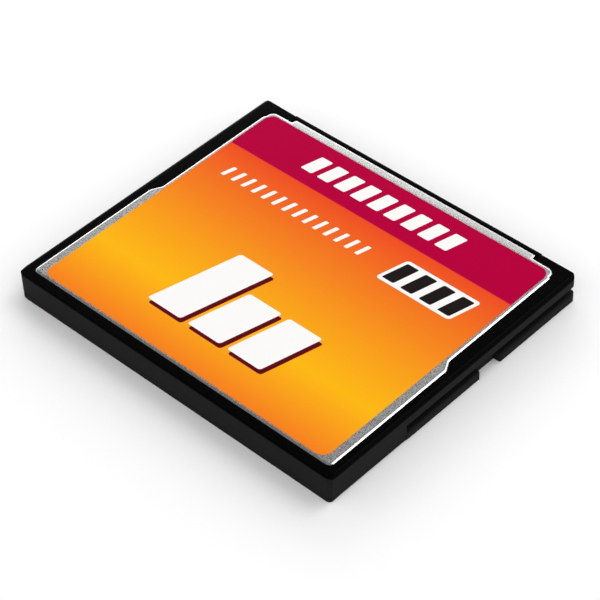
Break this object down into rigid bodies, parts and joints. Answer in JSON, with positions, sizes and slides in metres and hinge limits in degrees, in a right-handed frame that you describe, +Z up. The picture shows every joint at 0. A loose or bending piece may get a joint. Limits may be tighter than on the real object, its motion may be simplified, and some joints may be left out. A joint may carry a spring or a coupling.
{
  "type": "compact flash card",
  "caption": "Thin rectangular memory card with a black moulded frame, pressed steel covers, a printed front label, keyed side guide grooves and a socket row along one edge.",
  "frame": {"origin": "middle of the underside, where the card rests on a table", "axes": "+X across the width, +Y towards the connector edge, +Z up through the labelled face"},
  "size_m": [0.0428, 0.0364, 0.0033],
  "materials": {
    "black_plastic": "satin moulded",
    "steel_cover": "satin",
    "printed_label": "semi-gloss print",
    "connector_plastic": "satin moulded",
    "contact_metal": "gold flashed",
    "board_laminate": "semi-gloss solder mask",
    "chip_package": "matt moulded",
    "tinned_lead": "tinned",
    "ceramic": "fired ceramic",
    "tantalum_case": "moulded"
  },
  "bodies": {
    "root": {"top_frame": "black_plastic", "bottom_frame": "black_plastic", "top_cover": "steel_cover", "bottom_cover": "steel_cover", "front_label": "printed_label", "connector_housing": "connector_plastic", "upper_contacts": "contact_metal", "lower_contacts": "contact_metal", "circuit_board": "board_laminate", "controller_chip": "chip_package", "controller_leads": "tinned_lead", "upper_flash_chip": "chip_package", "upper_flash_leads": "tinned_lead", "lower_flash_chip": "chip_package", "lower_flash_leads": "tinned_lead", "clock_crystal": "ceramic", "voltage_regulator": "chip_package", "regulator_leads": "tinned_lead", "bulk_capacitor": "tantalum_case", "small_capacitors": "ceramic", "resistors": "chip_package"}
  },
  "joints": []
}
